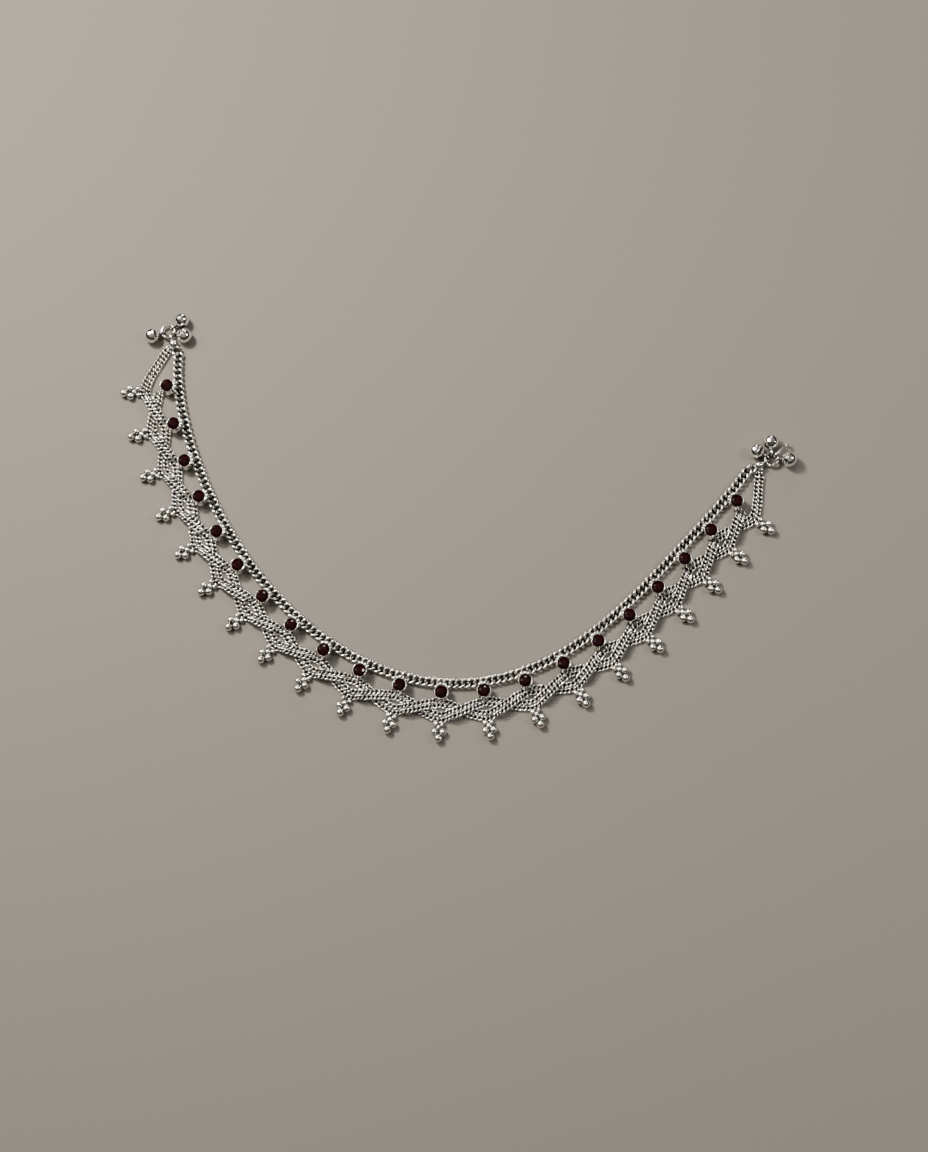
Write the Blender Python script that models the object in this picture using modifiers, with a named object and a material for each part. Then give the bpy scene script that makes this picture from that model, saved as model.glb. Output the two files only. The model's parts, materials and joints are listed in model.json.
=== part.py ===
"""A silver filigree anklet, lying open on a flat surface.

A flat top chain carries a row of round bezels set with garnets. Two bands, each of two
fine strands, wave between the bezels and the outer edge and cross over each other, and a
cluster of silver grains stands at each outer turn. An end bead, a ring with three small
bells and a plain hook finish the ends.

Metres, +Z up. The surface is Z = 0, and the origin is the centre of the footprint.
"""

import math

import bmesh
import bpy
import numpy as np
from mathutils import Matrix, Vector

# The top chain's route on the surface, seen from above, from its left end to its right.
# The points are chosen by hand; the smooth curve near them is scaled to the real length.
PITCHES = 22
PITCH = 0.0112
ROUTE = [
    (-0.0833, 0.0704),
    (-0.0814, 0.0495),
    (-0.0748, 0.0297),
    (-0.0652, 0.0114),
    (-0.0524, -0.0052),
    (-0.0362, -0.0188),
    (-0.0172, -0.0274),
    (0.0031, -0.0291),
    (0.0228, -0.0234),
    (0.0404, -0.0116),
    (0.0557, 0.0032),
    (0.0694, 0.0183),
    (0.0828, 0.0348),
]
ROUTE_DEGREE = 7
ROUTE_SAMPLES = 1200

# Gaps that neighbouring pieces keep.
CLEARANCE = 0.0003
SEAT_GAP = 0.0002

# Top chain.
CHAIN_WIDTH = 0.0032
CHAIN_THICKNESS = 0.0018
CHAIN_CHAMFER = 0.0003
CHAIN_SECTIONS_PER_PITCH = 2

# Bezels and garnets.
BEZEL_OUT = 0.0031
BEZEL_WALL = 0.0004
BEZEL_HEIGHT = 0.0022
BEZEL_FLOOR = 0.0006
BEZEL_SINK = 0.0002
ROUND_SIDES = 10
STONE_DIAMETER = 0.0034
STONE_TABLE = 0.0019
STONE_CROWN = 0.0006
STONE_PAVILION = 0.0009
STONE_SET_BELOW_RIM = 0.0004

# Strands of the two waving bands. Peaks are next to the bezels, troughs at the outer edge,
# and a band's two strands keep these gaps at its peaks and troughs.
STRAND_DIAMETER = 0.0012
STRAND_BEVEL_RESOLUTION = 2
INNER_PEAK = 0.00475
INNER_GATHER = 0.00265
OUTER_TROUGH = 0.0106
PEAK_GAP = 0.00025
TROUGH_GAP = 0.0006

# Past a turn, the two bands come near enough to touch if both lay low. The band on top starts
# to climb at this share of that distance, and is at its full height at this one.
CLIMB_START = 0.58
CLIMB_END = 1.45

# How pointed the bands' turns are: 0 is a rounded wave, and 1 is a zigzag.
POINTED_SHARE = 0.6
SWING_SAMPLES = 200

# Pendants: a lug and three grains, in a plane along the outward direction.
GRAIN_SIDES = 10
GRAIN_RINGS = 4
LUG_DIAMETER = 0.0017
LUG_WIDTH = 0.0025
SIDE_GRAIN_DIAMETER = 0.00235
SIDE_GRAIN_SPREAD = 0.00205
TIP_GRAIN_DIAMETER = 0.0024
LUG_TO_SIDE = 0.00165
SIDE_TO_TIP = 0.0018

# End beads, rings and bells.
END_BEAD_DIAMETER = 0.0026
END_BEAD_OUT = 0.0018
RING_RADIUS = 0.0019
RING_WIRE = 0.0008
RING_TURN = math.radians(29)
LOOP_RADIUS = 0.0009
LOOP_WIRE = 0.0006
LOOP_SIDES = 10
LOOP_WIRE_SIDES = 5
RING_SIDES = 12
RING_WIRE_SIDES = 6
BELL_DIAMETER = 0.0044
BELL_RINGS = 5
BELL_TURNS = {
    "left": (math.radians(85), math.radians(-131), math.radians(-73)),
    "right": (math.radians(127), math.radians(65), math.radians(-31)),
}

# Plain open hook on the right ring.
HOOK_TURN = math.radians(17)
HOOK_WIRE = 0.0007
HOOK_CURL_RADIUS = 0.00095
HOOK_LENGTH = 0.0035
HOOK_OPENING = math.radians(50)
HOOK_ARC_POINTS = 5
HOOK_BEVEL_RESOLUTION = 1

# Merge distance of welded points, and the angle from which an edge is shaded sharp.
WELD = 1e-6
SHARP_ANGLE = math.radians(40)

OUTER_PEAK = INNER_PEAK + STRAND_DIAMETER + PEAK_GAP
OUTER_GATHER = INNER_GATHER + STRAND_DIAMETER + PEAK_GAP
INNER_TROUGH = OUTER_TROUGH - STRAND_DIAMETER - TROUGH_GAP
SWINGS = INNER_TROUGH - INNER_PEAK + OUTER_TROUGH - OUTER_PEAK
MEETING_SWING = (INNER_TROUGH - OUTER_PEAK - STRAND_DIAMETER) / SWINGS
STRAND_LOW = STRAND_DIAMETER / 2
STRAND_HIGH = STRAND_LOW + STRAND_DIAMETER + CLEARANCE
RING_HEIGHT = HOOK_CURL_RADIUS + HOOK_WIRE / 2
BEZEL_BASE = CHAIN_THICKNESS - BEZEL_SINK
BEZEL_TOP = BEZEL_BASE + BEZEL_HEIGHT
POCKET_RADIUS = STONE_DIAMETER / 2 + SEAT_GAP
PENDANT_OUT = OUTER_TROUGH + STRAND_DIAMETER / 2 + CLEARANCE


def clear_scene():
    """Remove every object of the scene."""
    for obj in list(bpy.data.objects):
        bpy.data.objects.remove(obj, do_unlink=True)


def new_collection(name):
    """A collection of this name, linked to the scene."""
    collection = bpy.data.collections.new(name)
    bpy.context.scene.collection.children.link(collection)
    return collection


def metal(name, colour, roughness):
    """A polished metal."""
    material = bpy.data.materials.new(name)
    material.use_nodes = True
    shader = material.node_tree.nodes["Principled BSDF"]
    shader.inputs["Base Color"].default_value = (*colour, 1.0)
    shader.inputs["Metallic"].default_value = 1.0
    shader.inputs["Roughness"].default_value = roughness
    return material


def gem(name, colour, roughness):
    """A clear dark stone."""
    material = bpy.data.materials.new(name)
    material.use_nodes = True
    shader = material.node_tree.nodes["Principled BSDF"]
    shader.inputs["Base Color"].default_value = (*colour, 1.0)
    shader.inputs["Roughness"].default_value = roughness
    shader.inputs["IOR"].default_value = 1.76
    shader.inputs["Transmission Weight"].default_value = 0.3
    return material


class Route:
    """The top chain's centre line at its real length."""

    def __init__(self):
        shares = np.linspace(0.0, 1.0, len(ROUTE))
        fit = np.polyfit(shares, np.array(ROUTE), ROUTE_DEGREE)
        dense = np.linspace(0.0, 1.0, ROUTE_SAMPLES)
        points = np.stack([np.polyval(fit[:, axis], dense) for axis in (0, 1)], axis=1)
        steps = np.linalg.norm(np.diff(points, axis=0), axis=1)
        lengths = np.concatenate([[0.0], np.cumsum(steps)])
        scale = PITCHES * PITCH / lengths[-1]
        self.points = points * scale
        self.lengths = lengths * scale
        tangents = np.gradient(points, axis=0)
        self.tangents = tangents / np.linalg.norm(tangents, axis=1)[:, None]

    def tangent(self, u):
        """Direction of the line, u pitches from its left end."""
        along = min(max(u, 0.0), PITCHES) * PITCH
        x, y = (np.interp(along, self.lengths, self.tangents[:, axis]) for axis in (0, 1))
        return Vector((x, y, 0.0)).normalized()

    def outward(self, u):
        """Direction towards the pendants, square to the line."""
        ahead = self.tangent(u)
        return Vector((ahead.y, -ahead.x, 0.0))

    def point(self, u, out=0.0, height=0.0):
        """The point u pitches along, `out` outward and `height` above the surface."""
        inside = min(max(u, 0.0), PITCHES)
        x, y = (np.interp(inside * PITCH, self.lengths, self.points[:, axis]) for axis in (0, 1))
        beyond = (u - inside) * PITCH * self.tangent(u)
        return Vector((x, y, height)) + beyond + self.outward(u) * out

    def matrix(self, u, out=0.0, height=0.0):
        """A frame at that point: X along the line, Y inward, Z up."""
        ahead = self.tangent(u)
        turn = Matrix.Rotation(math.atan2(ahead.y, ahead.x), 4, "Z")
        return Matrix.Translation(self.point(u, out, height)) @ turn


class Builder:
    """Keeps the collections, the materials and the parent of all the pieces."""

    def __init__(self):
        self.parts = new_collection("filigree_anklet")
        self.helpers = new_collection("cutters")
        self.silver = metal("silver", (0.86, 0.85, 0.82), 0.24)
        self.garnet = gem("garnet", (0.09, 0.004, 0.012), 0.08)
        self.parent = bpy.data.objects.new("anklet_origin", None)
        self.parts.objects.link(self.parent)

    def add(self, name, data, matrix, material):
        """A named piece at this place."""
        piece = bpy.data.objects.new(name, data)
        self.parts.objects.link(piece)
        piece.parent = self.parent
        piece.matrix_world = matrix
        data.materials.clear()
        data.materials.append(material)
        return piece

    def helper(self, name, data):
        """A hidden object that other shapes are made from."""
        guide = bpy.data.objects.new(name, data)
        self.helpers.objects.link(guide)
        guide.hide_render = True
        guide.display_type = "WIRE"
        return guide

    def evaluated_mesh(self, source, name):
        """A plain mesh of a helper with its modifiers applied; the helper is removed."""
        bpy.context.view_layer.update()
        graph = bpy.context.evaluated_depsgraph_get()
        mesh = bpy.data.meshes.new_from_object(source.evaluated_get(graph))
        mesh.name = name
        mesh.transform(source.matrix_world)
        bpy.data.objects.remove(source, do_unlink=True)
        shape = bmesh.new()
        shape.from_mesh(mesh)
        bmesh.ops.remove_doubles(shape, verts=shape.verts, dist=WELD)
        bmesh.ops.recalc_face_normals(shape, faces=shape.faces)
        shape.to_mesh(mesh)
        shape.free()
        mesh.shade_smooth()
        mesh.set_sharp_from_angle(angle=SHARP_ANGLE)
        return mesh

    def union(self, meshes, name):
        """One closed body out of meshes that overlap."""
        base = self.helper(name + "_base", meshes[0])
        others = [self.helper(f"{name}_{i}", mesh) for i, mesh in enumerate(meshes[1:])]
        for other in others:
            join = base.modifiers.new(other.name, "BOOLEAN")
            join.operation = "UNION"
            join.solver = "EXACT"
            join.object = other
        mesh = self.evaluated_mesh(base, name)
        for other in others:
            bpy.data.objects.remove(other, do_unlink=True)
        return mesh


def turned_mesh(builder, name, profile, steps):
    """A closed shape turned about Z; the profile runs down its outer side from the axis."""
    mesh = bpy.data.meshes.new(name)
    points = [(radius, 0.0, height) for radius, height in profile]
    edges = [(i, i + 1) for i in range(len(points) - 1)]
    mesh.from_pydata(points, edges, [])
    source = builder.helper(name + "_profile", mesh)
    screw = source.modifiers.new("turn", "SCREW")
    screw.axis = "Z"
    screw.steps = steps
    screw.render_steps = steps
    screw.use_merge_vertices = True
    screw.merge_threshold = WELD
    return builder.evaluated_mesh(source, name)


def ball_mesh(name, diameter, centre, stretch=1.0, rings=GRAIN_RINGS):
    """A ball whose pole axis is Z, stretched along X."""
    shape = bmesh.new()
    bmesh.ops.create_uvsphere(shape, u_segments=GRAIN_SIDES, v_segments=rings, radius=diameter / 2)
    bmesh.ops.scale(shape, vec=(stretch, 1.0, 1.0), verts=shape.verts)
    bmesh.ops.translate(shape, vec=centre, verts=shape.verts)
    mesh = bpy.data.meshes.new(name)
    shape.to_mesh(mesh)
    shape.free()
    return mesh


def torus_mesh(name, radius, wire, sides, wire_sides, matrix):
    """A ring of round wire about Z, placed by a matrix."""
    bpy.ops.mesh.primitive_torus_add(
        major_radius=radius,
        minor_radius=wire / 2,
        major_segments=sides,
        minor_segments=wire_sides,
    )
    ring = bpy.context.object
    mesh = ring.data
    bpy.data.objects.remove(ring, do_unlink=True)
    mesh.name = name
    mesh.transform(matrix)
    return mesh


def wire_curve(name, points, diameter, bevel_resolution):
    """A round wire through these points, with filled ends."""
    curve = bpy.data.curves.new(name, "CURVE")
    curve.dimensions = "3D"
    curve.bevel_depth = diameter / 2
    curve.bevel_resolution = bevel_resolution
    curve.use_fill_caps = True
    spline = curve.splines.new("POLY")
    spline.points.add(len(points) - 1)
    for target, point in zip(spline.points, points):
        target.co = (*point, 1.0)
    return curve


def top_chain(builder, route):
    """The flat chain with the bezels soldered along its outer edge, one body."""
    half = CHAIN_WIDTH / 2
    flat = half - CHAIN_CHAMFER
    side = CHAIN_THICKNESS - CHAIN_CHAMFER
    corners = [(half, 0.0), (half, side), (flat, CHAIN_THICKNESS)]
    corners += [(-flat, CHAIN_THICKNESS), (-half, side), (-half, 0.0)]
    shape = bmesh.new()
    rows = []
    for i in range(PITCHES * CHAIN_SECTIONS_PER_PITCH + 1):
        place = route.matrix(i / CHAIN_SECTIONS_PER_PITCH)
        rows.append([shape.verts.new(place @ Vector((0.0, y, z))) for y, z in corners])
    for near, far in zip(rows, rows[1:]):
        for j in range(len(corners)):
            k = (j + 1) % len(corners)
            shape.faces.new((near[j], near[k], far[k], far[j]))
    shape.faces.new(rows[0])
    shape.faces.new(reversed(rows[-1]))
    bmesh.ops.recalc_face_normals(shape, faces=shape.faces)
    band = bpy.data.meshes.new("band")
    shape.to_mesh(band)
    shape.free()

    radius = POCKET_RADIUS + BEZEL_WALL
    pocket = BEZEL_BASE + BEZEL_FLOOR
    profile = [(0.0, pocket), (POCKET_RADIUS, pocket), (POCKET_RADIUS, BEZEL_TOP)]
    profile += [(radius, BEZEL_TOP), (radius, BEZEL_BASE), (0.0, BEZEL_BASE)]
    cup = turned_mesh(builder, "cup", profile, ROUND_SIDES)
    cups = bmesh.new()
    for station in range(1, PITCHES):
        start = len(cups.verts)
        cups.from_mesh(cup)
        cups.verts.ensure_lookup_table()
        bmesh.ops.transform(cups, matrix=route.matrix(station, BEZEL_OUT), verts=cups.verts[start:])
    row_of_cups = bpy.data.meshes.new("row_of_cups")
    cups.to_mesh(row_of_cups)
    cups.free()
    mesh = builder.union([band, row_of_cups], "top_chain")
    builder.add("top_chain", mesh, Matrix.Identity(4), builder.silver)


def garnets(builder, route):
    """A faceted stone in each bezel."""
    girdle = STONE_DIAMETER / 2
    profile = [(0.0, STONE_CROWN), (STONE_TABLE / 2, STONE_CROWN), (girdle, 0.0), (0.0, -STONE_PAVILION)]
    stone = turned_mesh(builder, "garnet", profile, ROUND_SIDES)
    for station in range(1, PITCHES):
        place = route.matrix(station, BEZEL_OUT, BEZEL_TOP - STONE_SET_BELOW_RIM)
        builder.add(f"garnet_{station:02d}", stone, place, builder.garnet)


def swing(turn):
    """How far a band has swung out, from 0 at a peak to 1 at a trough, this far past a peak."""
    straight = abs((turn + 1) % 2 - 1)
    rounded = (1.0 - math.cos(math.pi * turn)) / 2
    return POINTED_SHARE * straight + (1.0 - POINTED_SHARE) * rounded


def share_at(swung):
    """How far past a turn, in pitches, a band has swung this share of its way."""
    shares = np.linspace(0.0, 0.5, SWING_SAMPLES)
    return float(np.interp(swung, [swing(share) for share in shares], shares))


def strand_points(route, first, last, rises_from_even, peak, trough, gather):
    """The centre line of one strand.

    It swings between its peaks, next to the bezels, and its troughs, at the outer edge. The
    stretch that rises to a peak passes over the other band, and the falling one lies low.
    """
    rising_start = 0 if rises_from_even else 1
    meeting = share_at(MEETING_SWING)
    low_share = CLIMB_START * meeting
    high_share = CLIMB_END * meeting
    stops = []
    for start in range(first, last):
        rises = start % 2 == rising_start
        stops += [(start, STRAND_LOW), (start + low_share, STRAND_LOW)]
        if rises and 1 <= start < PITCHES - 1:
            stops += [(start + high_share, STRAND_HIGH), (start + 1.0 - high_share, STRAND_HIGH)]
        else:
            stops.append((start + 0.5, STRAND_LOW))
        stops.append((start + 1.0 - low_share, STRAND_LOW))
    stops.append((last, STRAND_LOW))
    points = []
    for u, height in stops:
        near = gather if u < 1 or u > PITCHES - 1 else peak
        out = near + (trough - near) * swing(u - 1 + rising_start)
        points.append(route.point(u, out, height))
    return points


def strands(builder, route):
    """Band A runs from under the first bezel to under the last, band B from end to end."""
    bands = {
        "a": (1, PITCHES - 1, True),
        "b": (0, PITCHES, False),
    }
    courses = {
        "inner": (INNER_PEAK, INNER_TROUGH, INNER_GATHER),
        "outer": (OUTER_PEAK, OUTER_TROUGH, OUTER_GATHER),
    }
    for band, (first, last, rises_from_even) in bands.items():
        for course, (peak, trough, gather) in courses.items():
            points = strand_points(route, first, last, rises_from_even, peak, trough, gather)
            name = f"strand_{band}_{course}"
            curve = wire_curve(name, points, STRAND_DIAMETER, STRAND_BEVEL_RESOLUTION)
            builder.add(name, curve, Matrix.Identity(4), builder.silver)


def pendants(builder, route):
    """A cluster of grains on a lug at each outer turn, resting on the surface."""
    lug_y = -LUG_DIAMETER / 2
    side_y = lug_y - LUG_TO_SIDE
    tip_y = side_y - SIDE_TO_TIP
    spread = SIDE_GRAIN_SPREAD / 2
    rest = SIDE_GRAIN_DIAMETER / 2
    tip_rest = TIP_GRAIN_DIAMETER / 2
    grains = [
        ball_mesh("lug", LUG_DIAMETER, (0.0, lug_y, rest), LUG_WIDTH / LUG_DIAMETER),
        ball_mesh("left_grain", SIDE_GRAIN_DIAMETER, (-spread, side_y, rest)),
        ball_mesh("right_grain", SIDE_GRAIN_DIAMETER, (spread, side_y, rest)),
        ball_mesh("tip_grain", TIP_GRAIN_DIAMETER, (0.0, tip_y, tip_rest)),
    ]
    cluster = builder.union(grains, "pendant")
    for station in range(1, PITCHES):
        name = f"pendant_{station:02d}"
        builder.add(name, cluster, route.matrix(station, PENDANT_OUT), builder.silver)


def drop_mesh(builder, name, diameter, rings):
    """A ball with a wire loop; the loop's centre is the origin and the ball lies along +X."""
    reach = diameter / 2 + LOOP_RADIUS
    fall = diameter / 2 - RING_HEIGHT
    along = math.sqrt(reach**2 - fall**2)
    ball = ball_mesh(name + "_ball", diameter, (along, 0.0, fall), rings=rings)
    upright = Matrix.Rotation(math.radians(90), 4, "X")
    loop = torus_mesh(name + "_loop", LOOP_RADIUS, LOOP_WIRE, LOOP_SIDES, LOOP_WIRE_SIDES, upright)
    return builder.union([ball, loop], name), along


def turned_to(point, angle):
    """A frame at the point whose X axis has this angle in plan."""
    return Matrix.Translation(point) @ Matrix.Rotation(angle, 4, "Z")


def hook_curve():
    """A plain open hook in an upright plane, its first curl about the origin."""
    start = -HOOK_OPENING
    first_curl = [start - (math.radians(270) - HOOK_OPENING) * i / HOOK_ARC_POINTS
                  for i in range(HOOK_ARC_POINTS + 1)]
    second_curl = [math.radians(90) - (math.radians(180) - HOOK_OPENING) * i / HOOK_ARC_POINTS
                   for i in range(HOOK_ARC_POINTS + 1)]
    points = []
    for centre, angles in ((0.0, first_curl), (HOOK_LENGTH, second_curl)):
        for angle in angles:
            x = centre + HOOK_CURL_RADIUS * math.cos(angle)
            points.append(Vector((x, 0.0, HOOK_CURL_RADIUS * math.sin(angle))))
    return wire_curve("hook", points, HOOK_WIRE, HOOK_BEVEL_RESOLUTION)


def end_pieces(builder, route):
    """The end bead, the ring on its eye and the bells on the ring, at each end, and the hook."""
    bead, bead_reach = drop_mesh(builder, "end_bead", END_BEAD_DIAMETER, GRAIN_RINGS)
    bell, _ = drop_mesh(builder, "bell", BELL_DIAMETER, BELL_RINGS)
    ring = torus_mesh("ring", RING_RADIUS, RING_WIRE, RING_SIDES, RING_WIRE_SIDES, Matrix.Identity(4))
    clear_of_chain = END_BEAD_DIAMETER / 2 + CLEARANCE
    for side, u, forward in (("left", 0, -1), ("right", PITCHES, 1)):
        ahead = route.tangent(u) * forward
        bead_place = route.point(u, END_BEAD_OUT, RING_HEIGHT) + ahead * clear_of_chain
        facing = math.atan2(ahead.y, ahead.x) - forward * RING_TURN
        direction = Vector((math.cos(facing), math.sin(facing), 0.0))
        eye = bead_place + direction * bead_reach
        builder.add(f"end_bead_{side}", bead, turned_to(eye, facing + math.pi), builder.silver)
        centre = eye + direction * RING_RADIUS
        builder.add(f"ring_{side}", ring, turned_to(centre, facing), builder.silver)
        for number, turn in enumerate(BELL_TURNS[side], start=1):
            angle = facing + turn
            on_wire = centre + RING_RADIUS * Vector((math.cos(angle), math.sin(angle), 0.0))
            builder.add(f"bell_{side}_{number}", bell, turned_to(on_wire, angle), builder.silver)
        if side == "right":
            angle = facing + HOOK_TURN
            on_wire = centre + RING_RADIUS * Vector((math.cos(angle), math.sin(angle), 0.0))
            builder.add("hook", hook_curve(), turned_to(on_wire, angle), builder.silver)


def centre_footprint(builder):
    """Move the parent so that the middle of the footprint is the origin."""
    bpy.context.view_layer.update()
    graph = bpy.context.evaluated_depsgraph_get()
    points = []
    for piece in builder.parts.objects:
        if piece.type != "EMPTY":
            shown = piece.evaluated_get(graph)
            points += [shown.matrix_world @ vertex.co for vertex in shown.to_mesh().vertices]
            shown.to_mesh_clear()
    low = [min(point[axis] for point in points) for axis in (0, 1)]
    high = [max(point[axis] for point in points) for axis in (0, 1)]
    builder.parent.location = (-(low[0] + high[0]) / 2, -(low[1] + high[1]) / 2, 0.0)


def main():
    """Build the anklet."""
    clear_scene()
    builder = Builder()
    route = Route()
    top_chain(builder, route)
    garnets(builder, route)
    strands(builder, route)
    pendants(builder, route)
    end_pieces(builder, route)
    centre_footprint(builder)


if __name__ == "__main__":
    main()
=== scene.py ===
"""Looks of a silver filigree anklet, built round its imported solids.

Curb links follow the top chain and the four strands, turned cups hold faceted garnets, and
clusters of polished grains hang from the outer turns. Beads, open rings, round bells and a
plain hook finish the ends.

Metres, +Z up. The surface is Z = 0.
"""

from __future__ import annotations

import json
import logging
import math
from dataclasses import dataclass, field
from enum import Enum
from typing import Any, Callable, Sequence

import bmesh
import bpy
import numpy as np
from mathutils import Matrix, Vector

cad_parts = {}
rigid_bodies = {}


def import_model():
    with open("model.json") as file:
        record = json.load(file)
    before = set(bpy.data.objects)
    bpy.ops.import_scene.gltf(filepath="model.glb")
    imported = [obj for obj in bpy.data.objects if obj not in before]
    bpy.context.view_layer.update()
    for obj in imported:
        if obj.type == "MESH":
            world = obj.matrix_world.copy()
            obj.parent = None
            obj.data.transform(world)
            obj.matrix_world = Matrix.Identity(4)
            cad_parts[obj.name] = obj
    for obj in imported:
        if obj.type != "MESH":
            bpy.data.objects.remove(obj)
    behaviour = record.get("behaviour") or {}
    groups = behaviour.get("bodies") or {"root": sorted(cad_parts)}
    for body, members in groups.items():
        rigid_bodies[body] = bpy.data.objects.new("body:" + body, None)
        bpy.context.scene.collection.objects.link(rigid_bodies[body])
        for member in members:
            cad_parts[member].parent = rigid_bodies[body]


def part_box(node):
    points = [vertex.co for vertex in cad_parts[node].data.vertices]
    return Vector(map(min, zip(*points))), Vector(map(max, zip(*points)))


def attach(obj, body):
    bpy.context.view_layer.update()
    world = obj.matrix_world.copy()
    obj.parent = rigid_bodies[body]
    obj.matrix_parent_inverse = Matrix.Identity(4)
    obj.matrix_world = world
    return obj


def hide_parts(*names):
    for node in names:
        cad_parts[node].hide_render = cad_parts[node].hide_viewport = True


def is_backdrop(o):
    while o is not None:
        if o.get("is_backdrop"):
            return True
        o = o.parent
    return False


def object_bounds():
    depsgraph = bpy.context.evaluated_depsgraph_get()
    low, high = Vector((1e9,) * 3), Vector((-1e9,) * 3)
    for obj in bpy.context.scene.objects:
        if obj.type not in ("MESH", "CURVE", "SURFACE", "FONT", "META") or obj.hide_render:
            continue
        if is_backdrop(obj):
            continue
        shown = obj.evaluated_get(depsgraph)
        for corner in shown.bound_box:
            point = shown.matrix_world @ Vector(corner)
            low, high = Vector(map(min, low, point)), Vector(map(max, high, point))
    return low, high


LOG = logging.getLogger("anklet")
BODY = "root"
MM = 0.001
WELD = 1e-7
FULL_TURN = 2 * math.pi
# A wire's rounded end reaches this share of its radius past its last section.
END_BULGE = 0.7
# Name of the links' mask of polished wear and painted shade.
WEAR_AND_SHADE = "wear_and_shade"
AHEAD = "ahead"
UP = (0.0, 0.0, 1.0)

Colour = tuple[float, float, float]
Span = tuple[float, float]
Profile = Sequence[Span]


class Slot(Enum):
    """The record's material slots."""

    CHAIN = "silver_chain"
    BRIGHT = "silver_bright"
    GARNET = "garnet"


class Band(Enum):
    """A waving band: its start and end, in pitches, and whether it rises from even stations."""

    A = ("a", 1, 21, True)
    B = ("b", 0, 22, False)


class Course(Enum):
    """A strand's place in its band: its distance out at a peak, at a trough and at the ends."""

    INNER = ("inner", 4.75 * MM, 8.8 * MM, 2.65 * MM)
    OUTER = ("outer", 6.2 * MM, 10.6 * MM, 4.1 * MM)


def within(value: float, low: float, high: float) -> float:
    """The value, kept between two others."""
    return min(max(value, low), high)


def eased(share: float) -> float:
    """A share from 0 to 1 that starts and ends gently."""
    return share * share * (3.0 - 2.0 * share)


class NodeChain:
    """Makes and joins nodes of one tree."""

    def __init__(self, tree: bpy.types.NodeTree) -> None:
        """Keep the tree.

        Args:
            tree: the tree that new nodes go into.
        """
        self.tree = tree

    def node(self, kind: str, **settings: Any) -> bpy.types.Node:
        """A new node.

        Args:
            kind: its type name.
            **settings: its properties.

        Returns:
            The node.
        """
        made = self.tree.nodes.new(kind)
        for name, value in settings.items():
            setattr(made, name, value)
        return made

    def set(self, node: bpy.types.Node, **values: Any) -> bpy.types.Node:
        """Fill a node's sockets; a socket of another node is linked, and anything else is a value.

        Args:
            node: the node to fill.
            **values: by socket name, with underscores for spaces.

        Returns:
            The same node.
        """
        for name, value in values.items():
            key: int | str = int(name[1:]) if name[1:].isdigit() else name.replace("_", " ")
            socket = node.inputs[key]
            if isinstance(value, bpy.types.NodeSocket):
                self.tree.links.new(value, socket)
            else:
                socket.default_value = value
        return node

    def math(self, operation: str, first: Any, second: Any = 0.0) -> bpy.types.NodeSocket:
        """The result of one sum.

        Args:
            operation: the sum's name.
            first: a socket or a number.
            second: a socket or a number.

        Returns:
            The output socket.
        """
        made = self.set(self.node("ShaderNodeMath", operation=operation), i0=first, i1=second)
        return made.outputs[0]

    def ramp(self, source: Any, low: float, high: float, start: float, end: float) -> bpy.types.NodeSocket:
        """A value carried from one range to another and kept inside it.

        Args:
            source: the socket that is read.
            low: the value that gives `start`.
            high: the value that gives `end`.
            start: the result at `low`.
            end: the result at `high`.

        Returns:
            The output socket.
        """
        made = self.node("ShaderNodeMapRange", interpolation_type="SMOOTHSTEP")
        self.set(made, Value=source, From_Min=low, From_Max=high, To_Min=start, To_Max=end)
        return made.outputs["Result"]

    def noise(self, place: Any, scale: float, detail: float) -> bpy.types.NodeSocket:
        """Soft noise.

        Args:
            place: the coordinates.
            scale: waves in a metre.
            detail: octaves.

        Returns:
            The factor socket.
        """
        made = self.set(self.node("ShaderNodeTexNoise"), Vector=place, Scale=scale, Detail=detail)
        return made.outputs[0]

    def mix(self, factor: Any, first: Any, second: Any) -> bpy.types.NodeSocket:
        """A colour between two.

        Args:
            factor: the share of the second.
            first: a colour or a socket.
            second: a colour or a socket.

        Returns:
            The colour socket.
        """
        made = self.node("ShaderNodeMix", data_type="RGBA")
        return self.set(made, i0=factor, i6=first, i7=second).outputs[2]


def opaque(colour: Colour) -> tuple[float, float, float, float]:
    """The colour with full alpha."""
    return (*colour, 1.0)


def new_material(name: str) -> tuple[bpy.types.Material, NodeChain, bpy.types.Node]:
    """A node material.

    Args:
        name: its name.

    Returns:
        The material, its node maker and its shader.
    """
    material = bpy.data.materials.new(name)
    material.use_nodes = True
    return material, NodeChain(material.node_tree), material.node_tree.nodes["Principled BSDF"]


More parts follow.
